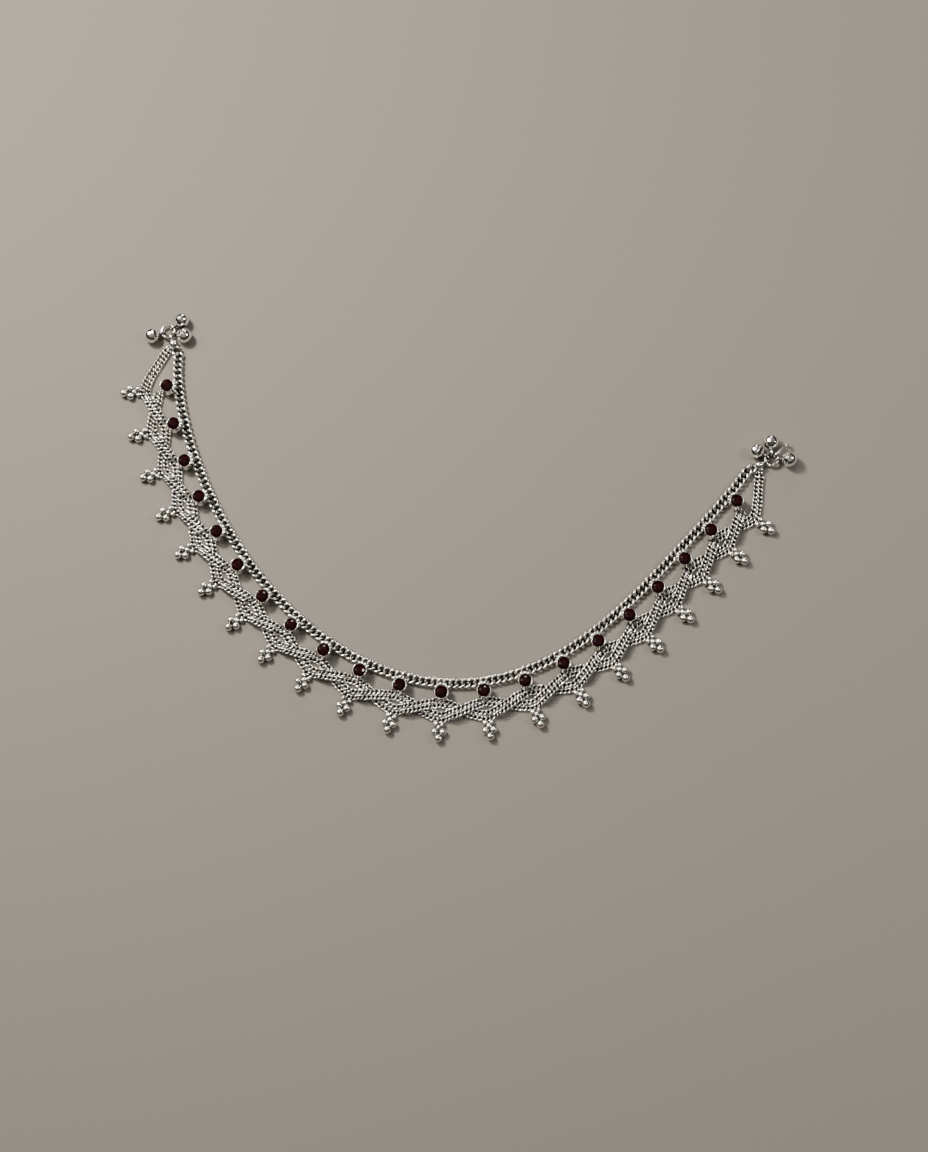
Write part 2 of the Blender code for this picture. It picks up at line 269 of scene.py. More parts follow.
@dataclass(frozen=True)
class SilverFinish:
    """Polished silver with fine wear, darkened in its folds by oxide patina and by painted shade."""

    name: str
    # The colour of the hollows: oxide patina, darkened further as painted shade.
    patina_and_shade: Colour
    roughness: float
    worn_roughness: float
    crevice: float
    open_from: float
    open_to: float
    scratch: float
    # Whether the mesh's mask of wear and painted shade darkens the colour further.
    wear_and_shade: bool = False
    bright: Colour = (0.97, 0.945, 0.9)
    cloudy: float = 0.86
    dull: float = 0.25
    wander: float = 0.06
    relief: float = 0.35
    hollow_samples: int = 8
    wear_scale: float = 900.0
    wear_detail: float = 3.0
    grain_scale: float = 5200.0
    grain_detail: float = 2.0
    edge_clouds: Span = (0.3, 0.7)
    tone_clouds: Span = (0.35, 0.65)
    wear_clouds: Span = (0.35, 0.7)

    def material(self) -> bpy.types.Material:
        """The finish as a material.

        Returns:
            The material.
        """
        material, nodes, shader = new_material(self.name)
        place = nodes.node("ShaderNodeTexCoord").outputs["Object"]
        clouds = nodes.noise(place, self.wear_scale, self.wear_detail)
        grain = nodes.noise(place, self.grain_scale, self.grain_detail)
        # Painted shade: the ambient occlusion darkens the colour towards the patina colour in folds and
        # between parts, partly real oxide and partly shade painted in.
        hollow = nodes.node("ShaderNodeAmbientOcclusion", samples=self.hollow_samples)
        nodes.set(hollow, Distance=self.crevice)
        wander = nodes.ramp(clouds, *self.edge_clouds, -self.wander, self.wander)
        shifted = nodes.math("ADD", hollow.outputs["AO"], wander)
        open_share = nodes.ramp(shifted, self.open_from, self.open_to, 0.0, 1.0)
        # The links' mask adds painted shade on their undersides and middles, beside their wear.
        if self.wear_and_shade:
            wear_and_shade = nodes.node("ShaderNodeAttribute", attribute_name=WEAR_AND_SHADE).outputs["Fac"]
            open_share = nodes.math("MULTIPLY", open_share, wear_and_shade)
        cloudy = tuple(part * self.cloudy for part in self.bright)
        tone = nodes.ramp(clouds, *self.tone_clouds, 0.0, 1.0)
        polished = nodes.mix(tone, opaque(cloudy), opaque(self.bright))
        colour = nodes.mix(open_share, opaque(self.patina_and_shade), polished)
        worn = nodes.ramp(clouds, *self.wear_clouds, self.roughness, self.worn_roughness)
        roughness = nodes.math("ADD", worn, nodes.ramp(open_share, 0.0, 1.0, self.dull, 0.0))
        bump = nodes.node("ShaderNodeBump")
        nodes.set(bump, Height=grain, Strength=self.relief, Distance=self.scratch)
        nodes.set(shader, Base_Color=colour, Roughness=roughness, Metallic=1.0)
        nodes.set(shader, Normal=bump.outputs[0])
        return material


@dataclass(frozen=True)
class GarnetFinish:
    """A clear dark red stone."""

    name: str = "garnet_red"
    deep: Colour = (0.003, 0.0002, 0.0004)
    glow: Colour = (0.012, 0.0004, 0.0011)
    roughness: float = 0.03
    index: float = 1.76
    clarity: float = 0.06
    specular: float = 0.13
    cloud_scale: float = 1400.0
    cloud_detail: float = 2.0
    colour_clouds: Span = (0.35, 0.7)
    rough_clouds: Span = (0.3, 0.7)

    def material(self) -> bpy.types.Material:
        """The finish as a material.

        Returns:
            The material.
        """
        material, nodes, shader = new_material(self.name)
        place = nodes.node("ShaderNodeTexCoord").outputs["Object"]
        clouds = nodes.noise(place, self.cloud_scale, self.cloud_detail)
        share = nodes.ramp(clouds, *self.colour_clouds, 0.0, 1.0)
        colour = nodes.mix(share, opaque(self.deep), opaque(self.glow))
        roughness = nodes.ramp(clouds, *self.rough_clouds, self.roughness, self.roughness * 2)
        nodes.set(shader, Base_Color=colour, Roughness=roughness, IOR=self.index)
        nodes.set(shader, Transmission_Weight=self.clarity, Specular_IOR_Level=self.specular)
        return material


@dataclass(frozen=True)
class FloorFinish:
    """Plain pale paper."""

    name: str = "pale_floor"
    colour: Colour = (0.125, 0.115, 0.102)
    roughness: float = 0.85

    def material(self) -> bpy.types.Material:
        """The finish as a material.

        Returns:
            The material.
        """
        material, _, shader = new_material(self.name)
        shader.inputs["Base Color"].default_value = opaque(self.colour)
        shader.inputs["Roughness"].default_value = self.roughness
        return material


@dataclass
class Finishes:
    """The finishes that the pieces share."""

    links: bpy.types.Material
    bright: bpy.types.Material
    garnet: bpy.types.Material

    @classmethod
    def make(cls) -> Finishes:
        """All the finishes, made once.

        Returns:
            The finishes.
        """
        links = SilverFinish(
            name="silver_links",
            patina_and_shade=(0.018, 0.014, 0.011),
            roughness=0.1,
            worn_roughness=0.2,
            crevice=0.9 * MM,
            open_from=0.3,
            open_to=0.72,
            scratch=0.01 * MM,
            wear_and_shade=True,
        )
        bright = SilverFinish(
            name="silver_polished",
            patina_and_shade=(0.02, 0.016, 0.013),
            roughness=0.08,
            worn_roughness=0.15,
            crevice=1.8 * MM,
            open_from=0.3,
            open_to=0.9,
            scratch=0.006 * MM,
        )
        return cls(links.material(), bright.material(), GarnetFinish().material())


@dataclass(frozen=True)
class EndBead:
    """The bead in which the chain and band B end: its size and its place from the line's end."""

    diameter: float = 2.6 * MM
    out: float = 1.8 * MM
    clearance: float = 0.3 * MM
    height: float = 1.3 * MM

    @property
    def ahead(self) -> float:
        """How far beyond the end of the line its middle is."""
        return self.diameter / 2 + self.clearance


@dataclass
class Route:
    """The top chain's centre line, at its real length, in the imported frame."""

    pitches: int = 22
    pitch: float = 11.2 * MM
    degree: int = 7
    samples: int = 1200
    bezel_out: float = 3.1 * MM
    middle_station: int = 11
    stops: tuple[tuple[float, float], ...] = (
        (-0.0833, 0.0704),
        (-0.0814, 0.0495),
        (-0.0748, 0.0297),
        (-0.0652, 0.0114),
        (-0.0524, -0.0052),
        (-0.0362, -0.0188),
        (-0.0172, -0.0274),
        (0.0031, -0.0291),
        (0.0228, -0.0234),
        (0.0404, -0.0116),
        (0.0557, 0.0032),
        (0.0694, 0.0183),
        (0.0828, 0.0348),
    )
    shift: Vector = field(default_factory=lambda: Vector((0.0, 0.0, 0.0)))
    bead: EndBead = EndBead()

    def __post_init__(self) -> None:
        """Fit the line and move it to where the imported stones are."""
        shares = np.linspace(0.0, 1.0, len(self.stops))
        fit = np.polyfit(shares, np.array(self.stops), self.degree)
        dense = np.linspace(0.0, 1.0, self.samples)
        points = np.stack([np.polyval(fit[:, axis], dense) for axis in (0, 1)], axis=1)
        steps = np.linalg.norm(np.diff(points, axis=0), axis=1)
        lengths = np.concatenate([[0.0], np.cumsum(steps)])
        scale = self.pitches * self.pitch / lengths[-1]
        self.points = points * scale
        self.lengths = lengths * scale
        tangents = np.gradient(points, axis=0)
        self.tangents = tangents / np.linalg.norm(tangents, axis=1)[:, None]
        low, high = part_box(f"garnet_{self.middle_station:02d}")
        self.shift = (low + high) / 2 - self.point(self.middle_station, self.bezel_out)
        self.shift.z = 0.0

    def tangent(self, u: float) -> Vector:
        """Direction of the line.

        Args:
            u: pitches from the left end.

        Returns:
            A unit vector.
        """
        along = within(u, 0.0, self.pitches) * self.pitch
        x, y = (np.interp(along, self.lengths, self.tangents[:, axis]) for axis in (0, 1))
        return Vector((x, y, 0.0)).normalized()

    def outward(self, u: float) -> Vector:
        """Direction towards the pendants, square to the line."""
        ahead = self.tangent(u)
        return Vector((ahead.y, -ahead.x, 0.0))

    def point(self, u: float, out: float = 0.0, height: float = 0.0) -> Vector:
        """A point beside the line.

        Args:
            u: pitches from the left end.
            out: distance outward.
            height: distance above the surface.

        Returns:
            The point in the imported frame.
        """
        inside = within(u, 0.0, self.pitches)
        along = inside * self.pitch
        x, y = (np.interp(along, self.lengths, self.points[:, axis]) for axis in (0, 1))
        beyond = self.tangent(u) * float((u - inside) * self.pitch)
        return Vector((x, y, height)) + beyond + self.outward(u) * out + self.shift

    def stations(self) -> range:
        """The pitches at which a bezel and a pendant stand."""
        return range(1, self.pitches)

    def bead_place(self, u: int) -> Vector:
        """The middle of the end bead, for the end at u pitches."""
        away = self.tangent(u) * (1 if u else -1)
        return self.point(u, self.bead.out, self.bead.height) + away * self.bead.ahead

    def into_bead(self, line: Sequence[Vector], reach: float) -> list[Vector]:
        """A line between the two ends, carried on to both end beads.

        Args:
            line: the line, which starts and stops short of the ends.
            reach: how far from a bead's middle the carried line stops.

        Returns:
            The longer line.
        """
        first, last = (self.bead_place(u) for u in (0, self.pitches))
        first += (line[0] - first).normalized() * reach
        last += (line[-1] - last).normalized() * reach
        return [first, *line, last]


def mesh_from(
    name: str, points: Sequence[Any], faces: Sequence[Sequence[int]], smooth: bool = True
) -> bpy.types.Mesh:
    """A mesh whose faces point outwards.

    Args:
        name: its name.
        points: its corners.
        faces: corner numbers of each face.
        smooth: whether it is shaded smooth.

    Returns:
        The mesh.
    """
    mesh = bpy.data.meshes.new(name)
    mesh.from_pydata([tuple(point) for point in points], [], [list(face) for face in faces])
    shape = bmesh.new()
    shape.from_mesh(mesh)
    bmesh.ops.remove_doubles(shape, verts=shape.verts, dist=WELD)
    bmesh.ops.recalc_face_normals(shape, faces=shape.faces)
    shape.to_mesh(mesh)
    shape.free()
    if smooth:
        mesh.shade_smooth()
    return mesh


def joined(name: str, meshes: Sequence[bpy.types.Mesh]) -> bpy.types.Mesh:
    """Several meshes as one; the separate ones are removed.

    Args:
        name: the new mesh's name.
        meshes: what is joined.

    Returns:
        The joined mesh.
    """
    shape = bmesh.new()
    for mesh in meshes:
        shape.from_mesh(mesh)
    whole = bpy.data.meshes.new(name)
    shape.to_mesh(whole)
    shape.free()
    for mesh in meshes:
        bpy.data.meshes.remove(mesh)
    return whole


def moved(mesh: bpy.types.Mesh, matrix: Matrix) -> bpy.types.Mesh:
    """The mesh, placed by a matrix."""
    mesh.transform(matrix)
    return mesh


def turn_about(axis: str, angle: float) -> Matrix:
    """A rotation about one axis."""
    return Matrix.Rotation(angle, 4, axis)


def standing(mesh: bpy.types.Mesh, point: Vector, angle: float) -> bpy.types.Mesh:
    """The mesh, turned about Z and then moved to a point."""
    return moved(mesh, Matrix.Translation(point) @ turn_about("Z", angle))


def beside(point: Vector, angle: float, distance: float) -> Vector:
    """A point at the same height, this far from another, towards an angle about Z."""
    return point + distance * Vector((math.cos(angle), math.sin(angle), 0.0))


def ring_line(
    radius: float, steps: int, start: float = 0.0, turn: float = FULL_TURN, height: float = 0.0
) -> np.ndarray:
    """Points of a circle, or of part of one, about Z.

    Args:
        radius: of the circle.
        steps: how many points.
        start: the first point's angle.
        turn: the angle that the points cover.
        height: their height.

    Returns:
        One row for each point.
    """
    whole = math.isclose(turn, FULL_TURN)
    angles = start + turn * np.arange(steps) / (steps if whole else steps - 1)
    return np.stack([radius * np.cos(angles), radius * np.sin(angles), np.full(steps, height)], axis=1)


def swept(
    name: str, line: np.ndarray, wire: float | np.ndarray, sides: int, closed: bool
) -> bpy.types.Mesh:
    """Round wire along a line; an open one has rounded ends.

    Args:
        name: the mesh's name.
        line: the points of the wire's middle, one row each.
        wire: the wire's diameter, or one for each point.
        sides: corners of its section.
        closed: whether the line is a loop.

    Returns:
        The mesh.
    """
    count = len(line)
    if closed:
        ahead = np.roll(line, -1, axis=0) - np.roll(line, 1, axis=0)
    else:
        ahead = np.gradient(line, axis=0)
    ahead /= np.linalg.norm(ahead, axis=1)[:, None]
    away = line - line.mean(axis=0)
    away -= (away * ahead).sum(axis=1)[:, None] * ahead
    away /= np.linalg.norm(away, axis=1)[:, None]
    across = np.cross(ahead, away)
    radii = np.broadcast_to(np.asarray(wire) / 2, count)
    points, faces = [], []
    for middle, out, aside, radius in zip(line, away, across, radii):
        for x, y, _ in ring_line(radius, sides):
            points.append(middle + x * out + y * aside)
    for i in range(count if closed else count - 1):
        after = (i + 1) % count
        for j in range(sides):
            k = (j + 1) % sides
            faces.append((i * sides + j, i * sides + k, after * sides + k, after * sides + j))
    if not closed:
        for row, way in ((0, -1.0), (count - 1, 1.0)):
            tip = len(points)
            points.append(line[row] + way * ahead[row] * radii[row] * END_BULGE)
            for j in range(sides):
                faces.append((row * sides + j, row * sides + (j + 1) % sides, tip))
    return mesh_from(name, points, faces)


def turned(name: str, profile: Profile, steps: int) -> bpy.types.Mesh:
    """A shape turned about Z.

    Args:
        name: the mesh's name.
        profile: (radius, height) pairs; a radius of zero closes an end.
        steps: corners of the circle.

    Returns:
        The mesh.
    """
    points, rows, faces = [], [], []
    for radius, height in profile:
        corners = steps if radius else 1
        rows.append(range(len(points), len(points) + corners))
        points.extend(ring_line(radius, corners, height=height))
    for near, far in zip(rows, rows[1:]):
        for i in range(steps):
            j = (i + 1) % steps
            ring = [near[i % len(near)], near[j % len(near)], far[j % len(far)], far[i % len(far)]]
            faces.append(list(dict.fromkeys(ring)))
    return mesh_from(name, points, faces)


def ball_profile(diameter: float, rings: int) -> list[Span]:
    """A ball's section about its middle, from pole to pole.

    Args:
        diameter: across.
        rings: faces from pole to pole.

    Returns:
        (radius, height) pairs.
    """
    radius = diameter / 2
    turns = [math.pi * i / rings for i in range(1, rings)]
    between = [(radius * math.sin(turn), -radius * math.cos(turn)) for turn in turns]
    return [(0.0, -radius), *between, (0.0, radius)]


def ball(
    diameter: float, centre: Sequence[float], sides: int = 14, rings: int = 9
) -> bpy.types.Mesh:
    """A polished ball.

    Args:
        diameter: across.
        centre: its middle.
        sides: faces round it.
        rings: faces from pole to pole.

    Returns:
        The mesh.
    """
    mesh = turned("ball", ball_profile(diameter, rings), sides)
    return moved(mesh, Matrix.Translation(Vector(centre)))


class GrowTree:
    """A Geometry Nodes tree, its inputs by name, and how it is run."""

    def __init__(self, name: str, inputs: dict[str, str]) -> None:
        """Start a tree with a geometry input and output.

        Args:
            name: the tree's name.
            inputs: socket type of each named input.
        """
        self.tree = bpy.data.node_groups.new(name, "GeometryNodeTree")
        face = self.tree.interface
        face.new_socket("Geometry", in_out="OUTPUT", socket_type="NodeSocketGeometry")
        face.new_socket("Geometry", in_out="INPUT", socket_type="NodeSocketGeometry")
        self.keys = {}
        for label, kind in inputs.items():
            self.keys[label] = face.new_socket(label, in_out="INPUT", socket_type=kind).identifier
        self.nodes = NodeChain(self.tree)
        self.given = self.nodes.node("NodeGroupInput").outputs

    def facing(self, direction: bpy.types.NodeSocket) -> bpy.types.NodeSocket:
        """An upright rotation that turns a unit's X axis to a direction.

        Args:
            direction: the direction socket.

        Returns:
            The rotation.
        """
        turn = self.nodes.node("FunctionNodeAxesToRotation", primary_axis="X", secondary_axis="Z")
        return self.nodes.set(turn, i0=direction, i1=UP).outputs[0]

    def jittered(self, rotation: bpy.types.NodeSocket) -> bpy.types.NodeSocket:
        """The rotation with a small seeded roll about its own X axis.

        Args:
            rotation: the rotation socket.

        Returns:
            The rolled rotation.
        """
        nodes = self.nodes
        low = nodes.math("MULTIPLY", self.given["Roll"], -1.0)
        chance = nodes.node("FunctionNodeRandomValue", data_type="FLOAT")
        nodes.set(chance, i2=low, i3=self.given["Roll"], Seed=self.given["Seed"])
        euler = nodes.set(nodes.node("ShaderNodeCombineXYZ"), X=chance.outputs[1])
        turn = nodes.set(nodes.node("FunctionNodeEulerToRotation"), i0=euler.outputs[0])
        both = nodes.node("FunctionNodeRotateRotation", rotation_space="LOCAL")
        return nodes.set(both, i0=rotation, i1=turn.outputs[0]).outputs[0]

    def shade_sheet(self) -> bpy.types.NodeSocket:
        """Painted shade: a flat sheet along the given curve, under the links, that shows dark between them.

        Returns:
            The sheet's geometry.
        """
        nodes, given = self.nodes, self.given
        flat = nodes.node("GeometryNodeSetCurveNormal", mode="Z_UP")
        nodes.set(flat, Curve=given["Geometry"])
        section = nodes.node("GeometryNodeCurvePrimitiveQuadrilateral")
        nodes.set(section, Width=given["Core Width"], Height=given["Core Height"])
        body = nodes.node("GeometryNodeCurveToMesh")
        nodes.set(body, Curve=flat.outputs[0], Profile_Curve=section.outputs[0], Fill_Caps=True)
        down = nodes.node("ShaderNodeCombineXYZ")
        nodes.set(down, Z=nodes.math("MULTIPLY", given["Core Drop"], -1.0))
        lowered = nodes.node("GeometryNodeSetPosition")
        nodes.set(lowered, Geometry=body.outputs[0], Offset=down.outputs[0])
        return lowered.outputs[0]

    def finish(self, points: Any, rotation: Any, *others: bpy.types.NodeSocket) -> None:
        """Put the unit on the points, make the copies real and give everything the finish.

        Args:
            points: where the copies go.
            rotation: how each is turned.
            *others: more geometry that goes with the copies.
        """
        nodes = self.nodes
        unit = nodes.set(nodes.node("GeometryNodeObjectInfo"), Object=self.given["Unit"])
        copies = nodes.node("GeometryNodeInstanceOnPoints")
        nodes.set(copies, Points=points, Instance=unit.outputs["Geometry"], Rotation=rotation)
        together = nodes.node("GeometryNodeJoinGeometry")
        for part in (copies.outputs[0], *others):
            nodes.set(together, Geometry=part)
        real = nodes.set(nodes.node("GeometryNodeRealizeInstances"), Geometry=together.outputs[0])
        dressed = nodes.node("GeometryNodeSetMaterial")
        nodes.set(dressed, Geometry=real.outputs[0], Material=self.given["Finish"])
        nodes.set(nodes.node("NodeGroupOutput"), Geometry=dressed.outputs[0])

    def run(self, name: str, carrier: bpy.types.ID, unit: bpy.types.Mesh, **values: Any) -> bpy.types.Object:
        """Grow a piece on a carrier.

        Args:
            name: the piece's name.
            carrier: the curve or mesh that carries the units.
            unit: the mesh that is repeated.
            **values: the tree's inputs by name.

        Returns:
            A plain mesh object at the origin.
        """
        scene = bpy.context.scene.collection.objects
        source = bpy.data.objects.new(name + "_unit", unit)
        base = bpy.data.objects.new(name + "_carrier", carrier)
        scene.link(source)
        scene.link(base)
        modifier = base.modifiers.new("grow", "NODES")
        modifier.node_group = self.tree
        for label, value in {"Unit": source, **values}.items():
            modifier[self.keys[label.replace("_", " ")]] = value
        bpy.context.view_layer.update()
        graph = bpy.context.evaluated_depsgraph_get()
        mesh = bpy.data.meshes.new_from_object(base.evaluated_get(graph))
        mesh.name = name
        piece = bpy.data.objects.new(name, mesh)
        scene.link(piece)
        bpy.data.objects.remove(base, do_unlink=True)
        bpy.data.objects.remove(source, do_unlink=True)
        return piece


def link_tree() -> GrowTree:
    """Links set evenly along a curve, upright and facing along it.

    Returns:
        The tree.
    """
    grow = GrowTree(
        "links_along_a_line",
        {
            "Unit": "NodeSocketObject",
            "Spacing": "NodeSocketFloat",
            "Core Width": "NodeSocketFloat",
            "Core Height": "NodeSocketFloat",
            "Core Drop": "NodeSocketFloat",
            "Roll": "NodeSocketFloat",
            "Seed": "NodeSocketInt",
            "Finish": "NodeSocketMaterial",
        },
    )
    nodes, given = grow.nodes, grow.given
    length = nodes.set(nodes.node("GeometryNodeCurveLength"), Curve=given["Geometry"])
    count = nodes.math("ROUND", nodes.math("DIVIDE", length.outputs[0], given["Spacing"]))
    places = nodes.node("GeometryNodeCurveToPoints", mode="COUNT")
    nodes.set(places, Curve=given["Geometry"], Count=nodes.math("ADD", count, 1.0))
    turned_along = grow.jittered(grow.facing(places.outputs["Tangent"]))
    grow.finish(places.outputs["Points"], turned_along, grow.shade_sheet())
    return grow


def station_tree() -> GrowTree:
    """A unit on each point, facing along the point's own direction.

    Returns:
        The tree.
    """
    grow = GrowTree(
        "units_at_stations",
        {"Unit": "NodeSocketObject", "Finish": "NodeSocketMaterial"},
    )
    ahead = grow.nodes.node("GeometryNodeInputNamedAttribute", data_type="FLOAT_VECTOR")
    grow.nodes.set(ahead, Name=AHEAD)
    grow.finish(grow.given["Geometry"], grow.facing(ahead.outputs["Attribute"]))
    return grow


@dataclass(frozen=True)
class CurbLink:
    """One twisted link of a curb chain, with a mask of wear on its raised tops and painted shade on its
    undersides and middle.
    """

    width: float
    wire: float
    pitch: float
    twist: float
    steps: int
    arch: float
    side_swell: float
    middle_shade: float
    sides: int = 6
    # The mask rises with height and upward facing: polished wear on top, painted shade below.
    wear_shade_from: float = -0.35
    wear_shade_to: float = 0.35
    wear_shade_lean: float = -0.25
    wear_shade_gain: float = 2.0
    middle_to: float = 0.65

    @property
    def length(self) -> float:
        """Overall length of one link."""
        return self.pitch + 2 * self.wire

    def mesh(self, name: str) -> bpy.types.Mesh:
        """The link about the origin, its length along X.

        Args:
            name: the mesh's name.

        Returns:
            The mesh.
        """
        turns = FULL_TURN * np.arange(self.steps) / self.steps
        half_length = (self.pitch + self.wire) / 2
        half_width = (self.width - self.wire) / 2
        lean = self.twist * np.cos(turns)
        side = half_width * np.sin(turns)
        rise = self.arch * (np.sin(turns) ** 2 - 0.5)
        across = side * np.cos(lean) - rise * np.sin(lean)
        upward = side * np.sin(lean) + rise * np.cos(lean)
        line = np.stack([half_length * np.cos(turns), across, upward], axis=1)
        swell = 1.0 + self.side_swell * (abs(np.sin(turns)) - 0.5)
        link = swept(name, line, self.wire * swell, self.sides, closed=True)
        # Painted shade: the mask keeps raised, upward-facing wire polished by wear and darkens the
        # undersides and low parts towards the patina colour.
        top = max(vertex.co.z for vertex in link.vertices)
        wear_and_shade = link.attributes.new(WEAR_AND_SHADE, "FLOAT", "POINT")
        for vertex in link.vertices:
            raised = (vertex.co.z / top - self.wear_shade_from) / (self.wear_shade_to - self.wear_shade_from)
            facing = (vertex.normal.z - self.wear_shade_lean) / (1.0 - self.wear_shade_lean)
            share = within(raised, 0.0, 1.0) * within(facing * self.wear_shade_gain, 0.0, 1.0)
            # Painted shade: the middle of each link, where the wires cross, is darkened.
            aside = min(abs(vertex.co.y) / (self.middle_to * half_width), 1.0)
            wear_and_shade.data[vertex.index].value = share * (1.0 - self.middle_shade * (1.0 - aside))
        return link


@dataclass(frozen=True)
class ShadeSheet:
    """A flat sheet of painted shade inside a chain's links: its section, and its depth under the line."""

    width: float
    height: float
    drop: float


@dataclass
class Workshop:
    """What every sub-assembly shares: the route, the finishes and the two trees."""

    route: Route
    finishes: Finishes
    links: GrowTree
    stations: GrowTree

    def keep(self, piece: bpy.types.Object, slot: Slot, *nodes: str) -> bpy.types.Object:
        """Make a finished piece ride on the body and stand for its solids.

        Args:
            piece: the finished piece.
            slot: not used.
            *nodes: the solids that it stands for.

        Returns:
            The same piece.
        """
        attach(piece, BODY)
        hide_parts(*nodes)
        LOG.info("%s: %d faces", piece.name, len(piece.data.polygons))
        return piece

    def place(self, name: str, mesh: bpy.types.Mesh, material: bpy.types.Material) -> bpy.types.Object:
        """A plain mesh as an object at the origin.

        Args:
            name: the piece's name.
            mesh: its mesh, already in place.
            material: its finish.

        Returns:
            The piece.
        """
        piece = bpy.data.objects.new(name, mesh)
        mesh.name = name
        mesh.materials.clear()
        mesh.materials.append(material)
        bpy.context.scene.collection.objects.link(piece)
        return piece

    def line(self, name: str, points: Sequence[Vector]) -> bpy.types.Curve:
        """A poly curve through these points.

        Args:
            name: its name.
            points: what it passes through.

        Returns:
            The curve.
        """
        curve = bpy.data.curves.new(name, "CURVE")
        curve.dimensions = "3D"
        spline = curve.splines.new("POLY")
        spline.points.add(len(points) - 1)
        spline.points.foreach_set("co", [part for point in points for part in (*point, 1.0)])
        return curve

    def marks(self, name: str, out: float, height: float) -> bpy.types.Mesh:
        """A point at each station, with the line's direction there.

        Args:
            name: the mesh's name.
            out: distance outward.
            height: distance above the surface.

        Returns:
            A mesh of loose points.
        """
        stations = self.route.stations()
        mesh = bpy.data.meshes.new(name)
        mesh.from_pydata([self.route.point(u, out, height) for u in stations], [], [])
        ahead = mesh.attributes.new(AHEAD, "FLOAT_VECTOR", "POINT")
        ahead.data.foreach_set("vector", [part for u in stations for part in self.route.tangent(u)])
        return mesh

    def at_stations(
        self, name: str, unit: bpy.types.Mesh, out: float, height: float, finish: bpy.types.Material
    ) -> bpy.types.Object:
        """A unit at every station, as one piece.

        Args:
            name: the piece's name.
            unit: the mesh that is repeated.
            out: distance outward from the line.
            height: distance above the surface.
            finish: its material.

        Returns:
            The piece.
        """
        return self.stations.run(name, self.marks(f"{name}_marks", out, height), unit, Finish=finish)

    def chain(
        self, name: str, line: Sequence[Vector], link: CurbLink, core: ShadeSheet, roll: float, seed: int
    ) -> bpy.types.Object:
        """A curb chain along a line, as one piece.

        Args:
            name: the piece's name.
            line: what the chain's middle passes through.
            link: one of its links.
            core: the sheet of painted shade inside them.
            roll: how far a link may be turned either way about the line.
            seed: of those turns.

        Returns:
            The piece.
        """
        return self.links.run(
            name,
            self.line(f"{name}_line", line),
            link.mesh(f"{name}_link"),
            Spacing=link.pitch,
            Core_Width=core.width,
            Core_Height=core.height,
            Core_Drop=core.drop,
            Roll=roll,
            Seed=seed,
            Finish=self.finishes.links,
        )


@dataclass
class TopChain:
    """The flat curb chain along the inner edge."""

    shop: Workshop
    link: CurbLink = CurbLink(
        width=3.2 * MM,
        wire=0.7 * MM,
        pitch=1.7 * MM,
        twist=math.radians(-42),
        steps=16,
        arch=0.3 * MM,
        side_swell=0.2,
        middle_shade=0.15,
    )
    core: ShadeSheet = ShadeSheet(1.6 * MM, 0.2 * MM, 0.6 * MM)
    height: float = 0.85 * MM
    bead_reach: float = 2.3 * MM
    samples_per_pitch: int = 24
    roll: float = math.radians(3)
    seed: int = 4

    def build(self) -> bpy.types.Object:
        """The chain's links as one piece.

        Returns:
            The piece.
        """
        route = self.shop.route
        inset = self.link.length / 2 / route.pitch
        count = route.pitches * self.samples_per_pitch
        ends = np.linspace(inset, route.pitches - inset, count)
        middle = [route.point(u, 0.0, self.height) for u in ends]
        line = route.into_bead(middle, self.bead_reach)
        piece = self.shop.chain("curb_chain", line, self.link, self.core, self.roll, self.seed)
        return self.shop.keep(piece, Slot.CHAIN, "top_chain")


@dataclass
class Bezels:
    """The turned cups soldered along the chain, with their solder grains."""

    shop: Workshop
    base: float = 1.6 * MM
    top: float = 3.8 * MM
    rim: float = 1.98 * MM
    foot: float = 2.3 * MM
    pocket: float = 1.86 * MM
    floor: float = 0.6 * MM
    seat: float = 0.5 * MM
    steps: int = 28
    # The rim's rounding, beside the rim's radius and the top, and the foot's, beside its own
    # radius and the base.
    rim_section: Profile = (
        (-0.18 * MM, -0.2 * MM),
        (-0.15 * MM, -0.05 * MM),
        (-0.08 * MM, 0.0),
        (-0.04 * MM, -0.03 * MM),
        (0.0, -0.12 * MM),
        (-0.01 * MM, -0.26 * MM),
    )
    foot_section: Profile = (
        (-0.08 * MM, 0.42 * MM),
        (-0.04 * MM, 0.3 * MM),
        (0.0, 0.16 * MM),
        (-0.08 * MM, 0.02 * MM),
    )
    # Each grain's place about the cup's middle, and its diameter.
    solder: tuple[tuple[float, float, float], ...] = (
        (-1.05 * MM, 1.95 * MM, 0.95 * MM),
        (-0.35 * MM, 2.25 * MM, 1.3 * MM),
        (0.6 * MM, 2.2 * MM, 1.15 * MM),
        (1.3 * MM, 1.8 * MM, 0.8 * MM),
    )
    solder_height: float = 3.25 * MM
    solder_sides: int = 10
    solder_rings: int = 6

    def profile(self) -> Profile:
        """The cup's section, from the pocket's middle over the rim to the foot's middle.

        Returns:
            (radius, height) pairs.
        """
        inside_floor = self.base + self.floor
        return [
            (0.0, inside_floor),
            (self.pocket, inside_floor),
            (self.pocket, self.top - self.seat),
            *[(self.rim + beyond, self.top + above) for beyond, above in self.rim_section],
            *[(self.foot + beyond, self.base + above) for beyond, above in self.foot_section],
            (0.0, self.base),
        ]

    def build(self) -> bpy.types.Object:
        """All the cups as one piece.

        Returns:
            The piece.
        """
        parts = [turned("cup", self.profile(), self.steps)]
        for x, y, size in self.solder:
            place = (x, y, self.solder_height)
            parts.append(ball(size, place, self.solder_sides, self.solder_rings))
        unit = joined("cup_and_solder", parts)
        out, finish = self.shop.route.bezel_out, self.shop.finishes.bright
        piece = self.shop.at_stations("bezels", unit, out, 0.0, finish)
        return self.shop.keep(piece, Slot.CHAIN, "top_chain")


